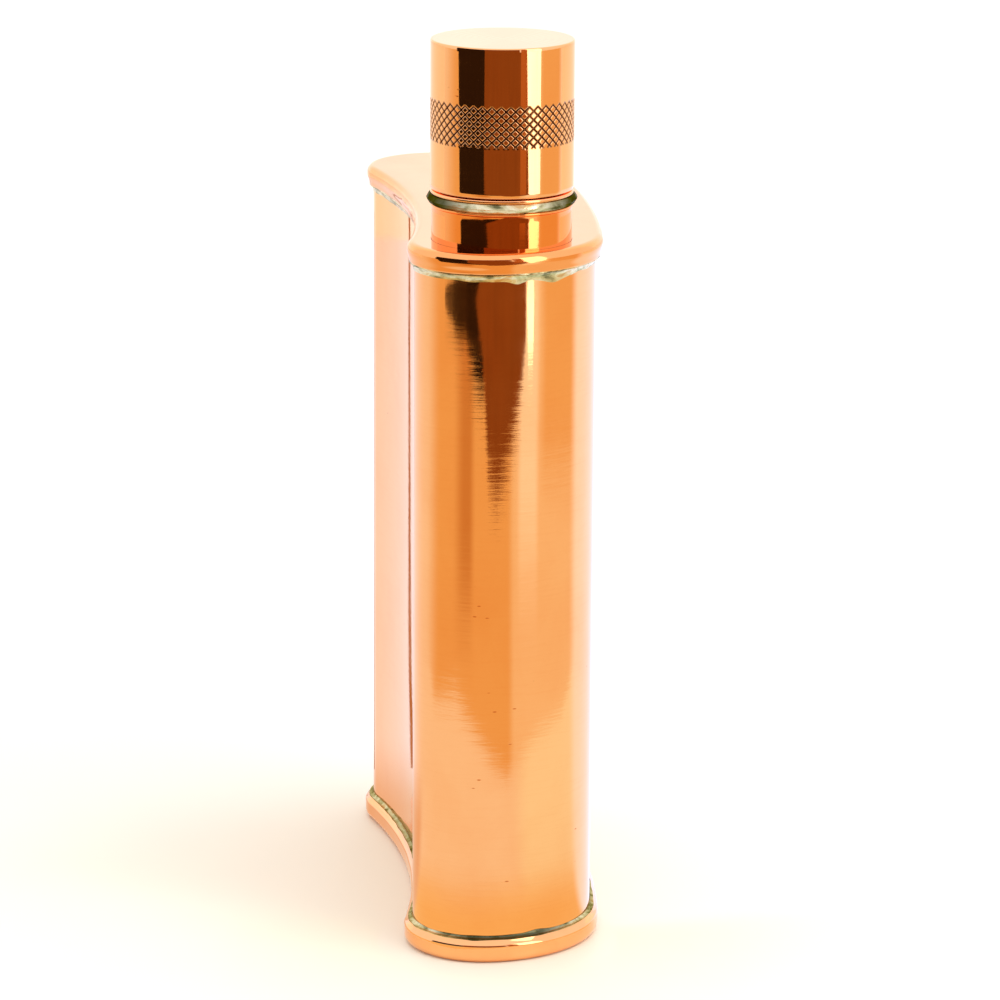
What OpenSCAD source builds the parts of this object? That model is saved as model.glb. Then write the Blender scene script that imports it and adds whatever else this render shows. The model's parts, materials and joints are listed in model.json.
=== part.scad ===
// Copper hip flask with a kidney-shaped body and a knurled screw cap, in millimetres.
// +Z is up and the flask stands on Z = 0. Its length runs along Y, the neck end towards -Y,
// and its bulging face looks towards +X. The origin is the centre of the footprint.

/* [Body outline, at the outside of the wall] */
// How much larger the radius of the hollow-side corners is than the neck's
hollow_corner_room = 0.4; // [0.2:0.05:3]
// How much larger the radius of the bulging-side corners is than the neck's
bulge_corner_room = 7.3; // [5:0.1:9]
// Distance between the centres of the two hollow-side corners
corner_span = 69; // [55:0.5:85]
// Radius of the bulging face
bulge_face_r = 268; // [200:1:360]
// Radius of the hollow face
hollow_face_r = 142; // [110:1:200]
// Height of the body over both end plates
body_h = 117.7; // [90:0.5:150]
// Thickness of the copper sheet
sheet = 0.7; // [0.5:0.05:0.9]
// Width of the soldered butt joint where the wall sheet closes
seam_w = 0.5; // [0.3:0.1:1]

/* [End plates] */
// How far the top plate's rim stands out from the wall
top_overhang = 1.1; // [0.95:0.05:1.6]
// Height of the top plate's turned-down flange
top_flange_h = 3.4; // [2:0.1:5]
// Radius of the top plate's rolled edge
top_edge_r = 0.8; // [0.4:0.05:0.9]
// How far the base plate's rim stands out from the wall
base_overhang = 1.4; // [0.95:0.05:1.8]
// Height of the base plate's turned-up flange
base_flange_h = 4; // [2.5:0.1:6]
// Radius of the base plate's rolled edge
base_edge_r = 1; // [0.4:0.05:1.2]
// Gap between the wall and the flanges
plate_fit = 0.05; // [0.02:0.01:0.08]

/* [Solder] */
// Height of the solder fillet under the top plate's flange
top_solder_h = 1.7; // [0.6:0.1:2.5]
// Height of the solder fillet above the base plate's flange
base_solder_h = 1.1; // [0.6:0.1:2.5]
// Gap between the solder around the neck and the inside of the wall
neck_solder_gap = 0.1; // [0.05:0.01:0.2]

/* [Neck] */
// Outside radius of the neck tube
neck_r = 11.3; // [9.4:0.05:13.6]
// Wall of the neck tube
neck_wall = 0.8; // [0.5:0.05:1]
// Height of the plain part of the neck above the top plate
neck_h = 5.5; // [3:0.1:9]
// How far the neck tube reaches in below the top plate
neck_insert = 1.3; // [0.8:0.1:3]
// Height of the rolled rim at the top of the neck
neck_rim_h = 0.5; // [0.3:0.05:1]
// Gap between the neck tube and the hole in the top plate
neck_fit = 0.05; // [0.02:0.01:0.08]
// Gap between the neck tube and the inside of the wall where they come closest
neck_gap = 0.6; // [0.4:0.05:1]
// Angle, from the length of the body, of the side where they come closest
neck_turn = 25.7; // [20:0.1:31]
// Height of the solder bead around the collar
collar_bead_h = 1.5; // [0.8:0.05:2]

/* [Spout] */
// How far the lip, the neck's rim and the cap stand out from the neck tube
lip_overhang = 0.2; // [0.1:0.05:0.5]
// Thickness of the lip
lip_h = 0.6; // [0.4:0.05:1.2]
// Depth of the plug that fits into the neck
plug_h = 3; // [2:0.1:4]
// Gap between the plug and the neck tube
plug_fit = 0.05; // [0.02:0.01:0.08]
// Wall of the plug, from the spout's bore out to the neck tube
plug_wall = 3.25; // [2.7:0.05:3.9]
// Wall of the spout at the thread's root
spout_wall = 1.2; // [0.8:0.05:1.5]
// Height of the spout above the lip
spout_h = 15; // [12:0.1:18]
// Pitch of the thread
pitch = 2.5; // [2.1:0.1:3]
// Turns of thread on the spout
spout_turns = 3; // [2:0.1:3.6]
// Turns of thread in the cap
cap_turns = 3; // [2:0.1:3.6]
// Height of the thread ridges
thread_h = 0.75; // [0.5:0.05:0.9]
// Width of a ridge at its root
thread_root_w = 1.3; // [0.8:0.05:1.55]
// Width of a ridge at its crest
thread_crest_w = 0.5; // [0.3:0.05:0.6]
// Gap between a ridge's crest and the other piece's root
thread_fit = 0.3; // [0.2:0.05:0.4]

/* [Cap] */
// Height of the cap
cap_h = 24; // [20:0.1:30]
// Gap between the closed cap and the lip
cap_gap = 0.2; // [0.1:0.05:0.4]
// Chamfer on the cap's outer edges
cap_edge = 0.25; // [0.1:0.05:0.5]
// Thickness of the sealing washer
washer_h = 1.8; // [1:0.1:3]
// Gap between the washer and the cap's bore
washer_fit = 0.2; // [0.1:0.05:0.4]
// Gap between the washer and the faces it seals
seal_gap = 0.05; // [0.02:0.01:0.1]

/* [Hidden] */
$fn = 96;

copper = [0.85, 0.47, 0.26];
bright_copper = [0.92, 0.55, 0.33];
silver_solder = [0.68, 0.68, 0.6];
cork = [0.72, 0.52, 0.33];

// Outline: where its six arcs are centred, and the half angle that each long face covers
hollow_corner_r = neck_r + hollow_corner_room;
bulge_corner_r = neck_r + bulge_corner_room;
half_span = corner_span / 2;
bulge_half_span = half_span - (bulge_corner_r - hollow_corner_r);
bulge_back = sqrt(pow(bulge_face_r - bulge_corner_r, 2) - pow(bulge_half_span, 2));
hollow_back = sqrt(pow(hollow_face_r + hollow_corner_r, 2) - pow(half_span, 2));
bulge_angle = asin(bulge_half_span / (bulge_face_r - bulge_corner_r));
hollow_angle = asin(half_span / (hollow_face_r + hollow_corner_r));
bulge_apex = bulge_face_r - bulge_back;
corner_x = (hollow_corner_r - bulge_apex) / 2;
bulge_face_x = corner_x - bulge_back;
hollow_face_x = corner_x - hollow_back;
beyond = 2 * (corner_span + bulge_corner_r);

// The neck stands inside the bulging-side corner, a set gap from the wall
neck_offset = bulge_corner_r - sheet - neck_gap - neck_r;
neck_x = corner_x + neck_offset * sin(neck_turn);
neck_y = -bulge_half_span - neck_offset * cos(neck_turn);
neck_solder_leg = neck_gap - neck_solder_gap;

// Heights of the stack above the body
wall_bottom = sheet;
wall_top = body_h - sheet;
neck_top = body_h + neck_h + neck_rim_h;
lip_bottom = neck_top + collar_bead_h;
lip_top = lip_bottom + lip_h;
spout_top = lip_top + spout_h;
cap_bottom = lip_top + cap_gap;

// Radii of the stack, from the neck tube inwards. The lip, rim and cap share one radius.
neck_bore_r = neck_r - neck_wall;
plug_r = neck_bore_r - plug_fit;
spout_bore_r = plug_r - plug_wall;
spout_r = spout_bore_r + spout_wall;
lip_r = neck_r + lip_overhang;

// Thread: both ridges wind at the same pitch, half a pitch apart
cap_bore_r = spout_r + thread_h + thread_fit;
cap_ceiling = spout_top + washer_h + 2 * seal_gap;
spout_thread_z = lip_top + pitch;
cap_thread_z = spout_thread_z - pitch / 2;
ridge_steps = 32;
ridge_root_depth = 0.25;
washer_r = cap_bore_r - washer_fit;

// How finely the rolled edges and the fillets are stepped
edge_steps = 4;
fillet_steps = 3;

// ---- outline -------------------------------------------------------------------------

// Part of a disc, within a half angle either side of the X axis
module sector(r, half_angle) {
    far = 2 * r;
    intersection() {
        circle(r, $fn = 720);
        polygon([
            [0, 0],
            far * [cos(half_angle), sin(half_angle)],
            far * [cos(half_angle), -sin(half_angle)]
        ]);
    }
}

// The outline is three overlapping parts. Each is grown by a distance, negative to shrink it.
module bulging_side(grow) {
    intersection() {
        translate([corner_x, -beyond]) square([beyond, 2 * beyond]);
        union() {
            translate([bulge_face_x, 0]) sector(bulge_face_r + grow, bulge_angle);
            for (end = [-1, 1])
                translate([corner_x, end * bulge_half_span]) circle(bulge_corner_r + grow);
        }
    }
}

module hollow_corner(grow, end) {
    translate([corner_x, end * half_span]) circle(hollow_corner_r + grow);
}

module hollow_side(grow) {
    difference() {
        polygon([
            [hollow_face_x, 0],
            [corner_x, half_span],
            [corner_x + hollow_corner_r / 2, 0],
            [corner_x, -half_span]
        ]);
        translate([hollow_face_x, 0]) circle(hollow_face_r - grow, $fn = 720);
    }
}

// The body's outline filled from one height to another
module slab(grow, bottom, top) {
    translate([0, 0, bottom]) {
        linear_extrude(top - bottom) bulging_side(grow);
        for (end = [-1, 1])
            linear_extrude(top - bottom) hollow_corner(grow, end);
        linear_extrude(top - bottom) hollow_side(grow);
    }
}

// ---- end plates ----------------------------------------------------------------------

// A plate at height 0 with a flange that hangs down around the wall. Its edge is rolled in
// steps, and the flange draws in to the sheet's thickness at its foot.
module plate(overhang, edge_r, flange_h) {
    foot = plate_fit + sheet;
    drawn_h = (flange_h - edge_r) / 2;
    difference() {
        union() {
            for (step = [1 : edge_steps]) {
                grow = overhang - edge_r * (1 - sin(90 * step / edge_steps));
                slab(grow, -edge_r, -edge_r * (1 - cos(90 * (step - 1) / edge_steps)));
            }
            slab((overhang + foot) / 2, -edge_r - drawn_h, -edge_r);
            slab(foot, -flange_h, -edge_r);
        }
        slab(plate_fit, -flange_h - 1, -sheet);
    }
}

module top_plate() {
    color(copper) difference() {
        translate([0, 0, body_h]) plate(top_overhang, top_edge_r, top_flange_h);
        translate([neck_x, neck_y, wall_top - 1]) cylinder(r = neck_r + neck_fit, h = sheet + 2);
    }
}

module base_plate() {
    color(copper) mirror([0, 0, 1]) plate(base_overhang, base_edge_r, base_flange_h);
}

// ---- wall and solder -----------------------------------------------------------------

// The wall all the way round, from one end plate to the other
module closed_wall() {
    difference() {
        slab(0, wall_bottom, wall_top);
        slab(-sheet, wall_bottom - 1, wall_top + 1);
    }
}

// The strip that the butt joint takes, in the middle of the end away from the neck
module seam_strip() {
    translate([corner_x - seam_w / 2, 0, 0]) cube([seam_w, beyond, body_h]);
}

module body_wall() {
    color(copper) difference() {
        closed_wall();
        seam_strip();
    }
}

module side_seam_solder() {
    color(silver_solder) intersection() {
        closed_wall();
        seam_strip();
    }
}

// A fillet between the wall and the foot of a flange, hanging from height 0
module fillet(h) {
    leg = plate_fit + sheet;
    difference() {
        for (step = [1 : fillet_steps])
            slab(leg * step / fillet_steps, -h * pow(1 - (step - 1) / fillet_steps, 2), 0);
        slab(0, -h - 1, 1);
    }
}

module top_solder() {
    color(silver_solder) translate([0, 0, body_h - top_flange_h]) fillet(top_solder_h);
}

module base_solder() {
    color(silver_solder) translate([0, 0, base_flange_h]) mirror([0, 0, 1]) fillet(base_solder_h);
}

// ---- neck and spout ------------------------------------------------------------------

module on_neck() {
    translate([neck_x, neck_y, 0]) children();
}

module ring(inner_r, outer_r, bottom, top) {
    rotate_extrude() translate([inner_r, bottom]) square([outer_r - inner_r, top - bottom]);
}

module neck_tube() {
    color(copper) on_neck() {
        ring(neck_bore_r, neck_r, wall_top - neck_insert, neck_top);
        ring(neck_bore_r, lip_r, neck_top - neck_rim_h, neck_top);
    }
}

module neck_solder() {
    color(silver_solder) on_neck() rotate_extrude() translate([neck_r, wall_top])
        polygon([[0, 0], [neck_solder_leg, 0], [0, -neck_solder_leg]]);
}

module collar_solder() {
    color(silver_solder) on_neck() rotate_extrude() {
        translate([plug_r, neck_top]) square([lip_r - plug_r, collar_bead_h]);
        translate([lip_r, neck_top + collar_bead_h / 2])
            circle(collar_bead_h / 2, $fn = 48);
    }
}

// A thread ridge that runs out at both ends. It stands on a cylinder of radius root_r and
// points outwards when out is 1 and inwards when out is -1.
module ridge(root_r, out, turns) {
    last = round(turns * ridge_steps);
    function rise(i) = thread_h * min(1, (i + 1) / 6, (last - i + 1) / 6);
    function section(i) =
        let (a = 360 * i / ridge_steps, z = pitch * i / ridge_steps)
        let (foot = root_r - out * ridge_root_depth, crest = root_r + out * rise(i))
        let (wide = thread_root_w / 2, narrow = thread_crest_w / 2)
        [for (p = [[foot, -wide], [crest, -narrow], [crest, narrow], [foot, wide]])
            [p[0] * cos(a), p[0] * sin(a), z + p[1]]];
    function side(i, k) = let (a = 4 * i + k, b = 4 * i + (k + 1) % 4)
        out > 0 ? [[a, b, b + 4], [a, b + 4, a + 4]] : [[b, a, a + 4], [b, a + 4, b + 4]];
    points = [for (i = [0 : last]) each section(i)];
    first_end = out > 0 ? [3, 2, 1, 0] : [0, 1, 2, 3];
    last_end = [for (k = out > 0 ? [0, 1, 2, 3] : [3, 2, 1, 0]) 4 * last + k];
    faces = concat([first_end], [for (i = [0 : last - 1], k = [0 : 3]) each side(i, k)], [last_end]);
    polyhedron(points, faces, convexity = 8);
}

module spout() {
    color(bright_copper) on_neck() {
        ring(spout_bore_r, plug_r, lip_bottom - plug_h, lip_top);
        ring(spout_bore_r, lip_r, lip_bottom, lip_top);
        ring(spout_bore_r, spout_r, lip_bottom, spout_top);
        translate([0, 0, spout_thread_z]) ridge(spout_r, 1, spout_turns);
    }
}

// ---- cap -----------------------------------------------------------------------------

module cap_shell() {
    color(bright_copper) on_neck() {
        rotate_extrude() polygon([
            [cap_bore_r, cap_bottom],
            [lip_r - cap_edge, cap_bottom],
            [lip_r, cap_bottom + cap_edge],
            [lip_r, cap_bottom + cap_h - cap_edge],
            [lip_r - cap_edge, cap_bottom + cap_h],
            [0, cap_bottom + cap_h],
            [0, cap_ceiling],
            [cap_bore_r, cap_ceiling]
        ]);
        translate([0, 0, cap_thread_z]) ridge(cap_bore_r, -1, cap_turns);
    }
}

module seal_washer() {
    color(cork) on_neck() translate([0, 0, spout_top + seal_gap]) cylinder(r = washer_r, h = washer_h);
}

body_wall();
side_seam_solder();
top_plate();
base_plate();
top_solder();
base_solder();
neck_tube();
neck_solder();
collar_solder();
spout();
cap_shell();
seal_washer();
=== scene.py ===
"""Copper hip flask: detailed meshes, materials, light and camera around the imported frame.

Lengths in this file are in millimetres unless a name ends in _m; meshes are scaled to metres
when they are made. The frame is the model's own: +Z up, the neck end towards -Y, and the
bulging face towards +X.
"""
import json
import math

import bmesh
import bpy
import numpy as np
from mathutils import Matrix, Vector, geometry


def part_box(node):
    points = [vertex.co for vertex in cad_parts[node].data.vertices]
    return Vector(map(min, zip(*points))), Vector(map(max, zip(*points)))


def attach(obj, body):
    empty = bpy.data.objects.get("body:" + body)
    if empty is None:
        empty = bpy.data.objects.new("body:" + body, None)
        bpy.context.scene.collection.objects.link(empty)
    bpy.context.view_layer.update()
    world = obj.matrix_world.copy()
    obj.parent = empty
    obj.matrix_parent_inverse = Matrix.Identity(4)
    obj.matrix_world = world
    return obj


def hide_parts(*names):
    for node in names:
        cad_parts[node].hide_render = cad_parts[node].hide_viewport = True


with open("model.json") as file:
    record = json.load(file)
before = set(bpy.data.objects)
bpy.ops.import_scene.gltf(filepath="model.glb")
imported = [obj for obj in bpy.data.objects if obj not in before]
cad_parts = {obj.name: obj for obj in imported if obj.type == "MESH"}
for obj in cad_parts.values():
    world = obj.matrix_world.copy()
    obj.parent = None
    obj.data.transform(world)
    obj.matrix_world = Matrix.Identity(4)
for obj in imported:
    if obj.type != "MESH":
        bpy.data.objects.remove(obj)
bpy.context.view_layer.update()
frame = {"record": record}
MM = 0.001

# ---- sizes, from the frame -------------------------------------------------------------


def box_mm(node):
    low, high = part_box(node)
    return np.array(low) / MM, np.array(high) / MM


mounts = {m["name"]: m for m in frame["record"]["mounts"]}
MOUTH_R = mounts["mouth"]["dims"]["r_mm"]
NECK = np.array(mounts["mouth"]["pos_m"][:2]) / MM
WALL_LOW, WALL_HIGH = box_mm("body_wall")
TOP_LOW, TOP_HIGH = box_mm("top_plate")
BASE_LOW, BASE_HIGH = box_mm("base_plate")
TUBE_LOW, TUBE_HIGH = box_mm("neck_tube")
BEAD_LOW, BEAD_HIGH = box_mm("collar_solder")
SPOUT_LOW, SPOUT_HIGH = box_mm("spout")
CAP_LOW, CAP_HIGH = box_mm("cap_shell")
WASHER_LOW, WASHER_HIGH = box_mm("seal_washer")
TOP_SOLDER_LOW, TOP_SOLDER_HIGH = box_mm("top_solder")
BASE_SOLDER_LOW, BASE_SOLDER_HIGH = box_mm("base_solder")
SEAM_LOW, SEAM_HIGH = box_mm("side_seam_solder")
NECK_SOLDER_LOW, NECK_SOLDER_HIGH = box_mm("neck_solder")

SHEET = WALL_LOW[2]
LIP_R = (SPOUT_HIGH[0] - SPOUT_LOW[0]) / 2
WASHER_R = (WASHER_HIGH[0] - WASHER_LOW[0]) / 2
BEAD_R = (BEAD_HIGH[0] - BEAD_LOW[0]) / 2
TOP_OVERHANG = TOP_HIGH[1] - WALL_HIGH[1]
BASE_OVERHANG = BASE_HIGH[1] - WALL_HIGH[1]

# The outline's arcs, as in the CAD model. Its corner line and span come from the frame.
HOLLOW_CORNER_R = 11.7
BULGE_CORNER_R = 18.6
HOLLOW_FACE_R = 142.0
BULGE_FACE_R = 268.0
HALF_SPAN = WALL_HIGH[1] - HOLLOW_CORNER_R
BULGE_HALF_SPAN = WALL_HIGH[1] - BULGE_CORNER_R
CORNER_X = WALL_LOW[0] + HOLLOW_CORNER_R
BULGE_BACK = math.sqrt((BULGE_FACE_R - BULGE_CORNER_R) ** 2 - BULGE_HALF_SPAN**2)
HOLLOW_BACK = math.sqrt((HOLLOW_FACE_R + HOLLOW_CORNER_R) ** 2 - HALF_SPAN**2)
BULGE_ANGLE = math.asin(BULGE_HALF_SPAN / (BULGE_FACE_R - BULGE_CORNER_R))
HOLLOW_ANGLE = math.asin(HALF_SPAN / (HOLLOW_FACE_R + HOLLOW_CORNER_R))

TOP_EDGE_R = 1.2
BASE_EDGE_R = 1.3
RIM_FLAT_W = 0.3
FACE_SAG = 0.11
BASE_SOLDER_SHARE = 0.55
PLATE_FIT = 0.05
NECK_R = 11.3
NECK_WALL = 0.8
NECK_RIM_H = 0.5
LIP_H = 0.6
PLUG_H = 3.0
SPOUT_R = 8.4
THREAD_H = 0.75
THREAD_ROOT_W = 1.3
THREAD_CREST_W = 0.5
THREAD_FIT = 0.3
PITCH = 2.5
TURNS = 3
CAP_BORE_R = SPOUT_R + THREAD_H + THREAD_FIT
PLUG_R = NECK_R - NECK_WALL - PLATE_FIT
LIP_TOP = SPOUT_LOW[2] + PLUG_H + LIP_H

# ---- mesh helpers ----------------------------------------------------------------------


def smooth_step(t):
    t = np.clip(t, 0, 1)
    return t * t * (3 - 2 * t)


def waves(u, v, seed, u_counts, v_lengths, count=10):
    """Smooth irregular values within about -1 to 1, periodic in u from 0 to 1; v is in mm."""
    rng = np.random.default_rng(seed)
    total = np.zeros(np.broadcast(u, v).shape)
    for _ in range(count):
        k = rng.integers(u_counts[0], u_counts[1] + 1)
        f = rng.uniform(-1, 1) / rng.uniform(*v_lengths)
        a, b = rng.uniform(0, 1, 2)
        total = total + np.sin(2 * np.pi * (k * u + a)) * np.cos(2 * np.pi * (v * f + b))
    return total * 1.6 / count


def make_object(name, points, faces, material, sharp_deg=40):
    """A mesh object from points in mm, smooth shaded except at edges sharper than sharp_deg."""
    mesh = bpy.data.meshes.new(name)
    mesh.from_pydata((np.asarray(points) * MM).tolist(), [], faces)
    mesh.validate()
    # All faces of a closed piece are turned to point outwards here.
    work = bmesh.new()
    work.from_mesh(mesh)
    bmesh.ops.recalc_face_normals(work, faces=work.faces)
    work.to_mesh(mesh)
    work.free()
    mesh.polygons.foreach_set("use_smooth", [True] * len(mesh.polygons))
    mesh.set_sharp_from_angle(angle=math.radians(sharp_deg))
    mesh.materials.append(material)
    obj = bpy.data.objects.new(name, mesh)
    bpy.context.collection.objects.link(obj)
    return obj


def grid_faces(rows, columns, wrap_rows, wrap_columns):
    """Quads between the points of a grid that is stored row by row."""
    faces = []
    for i in range(rows if wrap_rows else rows - 1):
        for j in range(columns if wrap_columns else columns - 1):
            a, b = i * columns + j, i * columns + (j + 1) % columns
            c, d = (i + 1) % rows * columns + (j + 1) % columns, (i + 1) % rows * columns + j
            faces.append((a, b, c, d))
    return faces


def add_piece(obj, body, slot, *nodes):
    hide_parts(*nodes)
    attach(obj, body)
    return obj


# ---- outline of the body ---------------------------------------------------------------
# Each arc: centre x, centre y, radius, sign of its growth, start angle, end angle, points.
# They run round from the middle of the far end, over the hollow side first.
ARCS = [
    (CORNER_X, HALF_SPAN, HOLLOW_CORNER_R, 1, math.pi / 2, math.pi + HOLLOW_ANGLE, 60),
    (CORNER_X - HOLLOW_BACK, 0, HOLLOW_FACE_R, -1, HOLLOW_ANGLE, -HOLLOW_ANGLE, 64),
    (CORNER_X, -HALF_SPAN, HOLLOW_CORNER_R, 1, math.pi - HOLLOW_ANGLE, math.pi * 1.5, 84),
    (CORNER_X, -BULGE_HALF_SPAN, BULGE_CORNER_R, 1, -math.pi / 2, -BULGE_ANGLE, 84),
    (CORNER_X - BULGE_BACK, 0, BULGE_FACE_R, 1, -BULGE_ANGLE, BULGE_ANGLE, 64),
    (CORNER_X, BULGE_HALF_SPAN, BULGE_CORNER_R, 1, BULGE_ANGLE, math.pi / 2, 60),
]


def outline(grow):
    """Points of the outline in mm, grown outwards by one number. Calls give points in step."""
    parts = []
    for x, y, r, sign, start, end, count in ARCS:
        t = np.linspace(start, end, count, endpoint=False)
        radius = r + sign * grow
        parts.append(np.c_[x + radius * np.cos(t), y + radius * np.sin(t)])
    return np.vstack(parts)


OUTLINE = outline(0.0)
OUTWARD = outline(1.0) - OUTLINE
STEP = np.linalg.norm(np.roll(OUTLINE, -1, 0) - OUTLINE, axis=1)
AROUND = np.r_[0, np.cumsum(STEP)[:-1]] / STEP.sum()
N = len(OUTLINE)


def shell_points(grow, z):
    """One row of points: grow and z may be single values or one value for each point."""
    grow = np.broadcast_to(grow, N)[:, None]
    return np.c_[OUTLINE + OUTWARD * grow, np.broadcast_to(z, N)]


# ---- materials -------------------------------------------------------------------------


class Nodes:
    """A short way to build one material's node tree."""

    def __init__(self, name):
        self.material = bpy.data.materials.new(name)
        self.material.use_nodes = True
        self.tree = self.material.node_tree
        self.shader = self.tree.nodes["Principled BSDF"]

    def add(self, kind, **values):
        node = self.tree.nodes.new(kind)
        for key, value in values.items():
            if key in node.inputs:
                node.inputs[key].default_value = value
            else:
                setattr(node, key, value)
        return node

    def link(self, source, target):
        self.tree.links.new(source, target)

    def place(self, scale):
        """Object coordinates in metres, stretched by a scale for each axis."""
        coordinates = self.add("ShaderNodeTexCoord")
        mapping = self.add("ShaderNodeMapping")
        mapping.inputs["Scale"].default_value = scale
        self.link(coordinates.outputs["Object"], mapping.inputs["Vector"])
        return mapping.outputs["Vector"]

    def noise(self, scale, detail=3.0, rough=0.55, distort=0.0):
        """Noise with this many features per metre along each axis."""
        node = self.add("ShaderNodeTexNoise")
        node.inputs["Scale"].default_value = 1.0
        node.inputs["Detail"].default_value = detail
        node.inputs["Roughness"].default_value = rough
        node.inputs["Distortion"].default_value = distort
        self.link(self.place(scale), node.inputs["Vector"])
        return node.outputs["Fac"]

    def ramp(self, source, *stops):
        node = self.add("ShaderNodeValToRGB")
        ramp = node.color_ramp
        while len(ramp.elements) < len(stops):
            ramp.elements.new(0.5)
        for element, (position, colour) in zip(ramp.elements, stops):
            element.position = position
            element.color = (*colour, 1) if len(colour) == 3 else colour
        self.link(source, node.inputs["Fac"])
        return node.outputs["Color"]

    def spread(self, source, low, high, from_low=0.3, from_high=0.7):
        node = self.add("ShaderNodeMapRange")
        node.inputs["From Min"].default_value = from_low
        node.inputs["From Max"].default_value = from_high
        node.inputs["To Min"].default_value = low
        node.inputs["To Max"].default_value = high
        self.link(source, node.inputs["Value"])
        return node.outputs["Result"]

    def mix(self, factor, first, second, mode="MIX"):
        node = self.add("ShaderNodeMix", data_type="RGBA", blend_type=mode)
        sockets = {s.identifier: s for s in node.inputs}
        pairs = (("Factor_Float", factor), ("A_Color", first), ("B_Color", second))
        for key, value in pairs:
            if isinstance(value, bpy.types.NodeSocket):
                self.link(value, sockets[key])
            else:
                sockets[key].default_value = value if key[0] == "F" else (*value, 1)
        return next(s for s in node.outputs if s.identifier == "Result_Color")

    def height(self):
        """The height above the floor, in metres."""
        split = self.add("ShaderNodeSeparateXYZ")
        self.link(self.place((1, 1, 1)), split.inputs["Vector"])
        return split.outputs["Z"]

    def bump(self, source, height_m, strength=1.0, under=None):
        node = self.add("ShaderNodeBump")
        if isinstance(strength, bpy.types.NodeSocket):
            self.link(strength, node.inputs["Strength"])
        else:
            node.inputs["Strength"].default_value = strength
        node.inputs["Distance"].default_value = height_m
        self.link(source, node.inputs["Height"])
        if under is not None:
            self.link(under, node.inputs["Normal"])
        return node.outputs["Normal"]


BLACK, WHITE = (0, 0, 0), (1, 1, 1)


def copper(name, tone, deep, streaks, rough, brush_m, pit_m, brushed_below_m=None, shade_attribute=None):
    """Polished copper with brushing that runs round Z, small pits and a faint tarnish.

    Above brushed_below_m the brushing is polished out. The last argument names a point attribute
    that is 1 along the knurl's cuts, where the colour is darkened as painted shade.
    """
    n = Nodes(name)
    shader = n.shader
    shader.inputs["Metallic"].default_value = 1.0
    brushing = n.noise(streaks, 5.0, 0.62)
    soft_streaks = n.noise((streaks[0] * 0.4, streaks[1] * 0.4, streaks[2] * 0.12), 3.0)
    tarnish = n.noise((90, 90, 60), 5.0, 0.6, 0.4)
    colour = n.mix(n.spread(tarnish, 0, 0.3, 0.42, 0.75), tone, deep)
    colour = n.mix(n.spread(brushing, 0.0, 0.18, 0.5, 0.8), colour, deep)
    strength = 1.0
    if brushed_below_m:
        strength = n.spread(n.height(), 1.0, 0.12, brushed_below_m - 0.02, brushed_below_m)
    normal = n.bump(brushing, brush_m, strength)
    normal = n.bump(soft_streaks, brush_m * 3, strength, normal)
    dots = n.add("ShaderNodeTexVoronoi", feature="F1")
    dots.inputs["Scale"].default_value = 1.0
    n.link(n.place((300, 300, 900)), dots.inputs["Vector"])
    spots = n.ramp(dots.outputs["Distance"], (0.06, BLACK), (0.13, WHITE))
    rare = n.ramp(n.noise((140, 140, 110), 2.0), (0.66, WHITE), (0.69, BLACK))
    pitted = n.mix(rare, spots, WHITE)
    normal = n.bump(pitted, pit_m, 1.0, normal)
    dark = (deep[0] * 0.75, deep[1] * 0.6, deep[2] * 0.5)
    colour = n.mix(pitted, dark, colour)
    # Painted shade: the colour is darkened where the knurl's cut attribute is high.
    if shade_attribute:
        depth = n.add("ShaderNodeAttribute", attribute_name=shade_attribute)
        colour = n.mix(n.spread(depth.outputs["Fac"], 0, 1, 0.05, 0.6), colour, KNURL_PAINTED_SHADE)
    n.link(colour, shader.inputs["Base Color"])
    n.link(normal, shader.inputs["Normal"])
    n.link(n.spread(soft_streaks, rough[0], rough[1]), shader.inputs["Roughness"])
    return n.material


def solder_material(name, dark_mm=None, edge_tint=WHITE):
    """Silver solder with olive stains, darker from one distance to another.

    The distances are across the flask, from the neck's axis.
    """
    n = Nodes(name)
    shader = n.shader
    shader.inputs["Metallic"].default_value = 1.0
    shader.inputs["Specular Tint"].default_value = (*edge_tint, 1)
    stains = n.noise((260, 260, 500), 5.0, 0.6, 0.5)
    grains = n.noise((1500, 1500, 1500), 3.0)
    colour = n.ramp(
        stains,
        (0.34, (0.13, 0.12, 0.05)),
        (0.45, (0.50, 0.43, 0.22)),
        (0.57, (0.78, 0.69, 0.44)),
        (0.68, (0.62, 0.38, 0.16)),
    )
    # Darker by distance across the flask; on the bead's flanks this is a painted dark reflection.
    if dark_mm:
        split = n.add("ShaderNodeSeparateXYZ")
        n.link(n.place((1, 1, 1)), split.inputs["Vector"])
        aside = n.add("ShaderNodeMath", operation="SUBTRACT")
        n.link(split.outputs["X"], aside.inputs[0])
        aside.inputs[1].default_value = NECK[0] * MM
        size = n.add("ShaderNodeMath", operation="ABSOLUTE")
        n.link(aside.outputs["Value"], size.inputs[0])
        low, high = dark_mm[0] * MM, dark_mm[1] * MM
        colour = n.mix(n.spread(size.outputs["Value"], 0, 0.93, low, high), colour, SOLDER_DARK)
    n.link(colour, shader.inputs["Base Color"])
    n.link(n.spread(stains, 0.32, 0.12), shader.inputs["Roughness"])
    normal = n.bump(grains, 0.00002)
    n.link(n.bump(stains, 0.00015, 0.6, normal), shader.inputs["Normal"])
    return n.material


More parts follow.
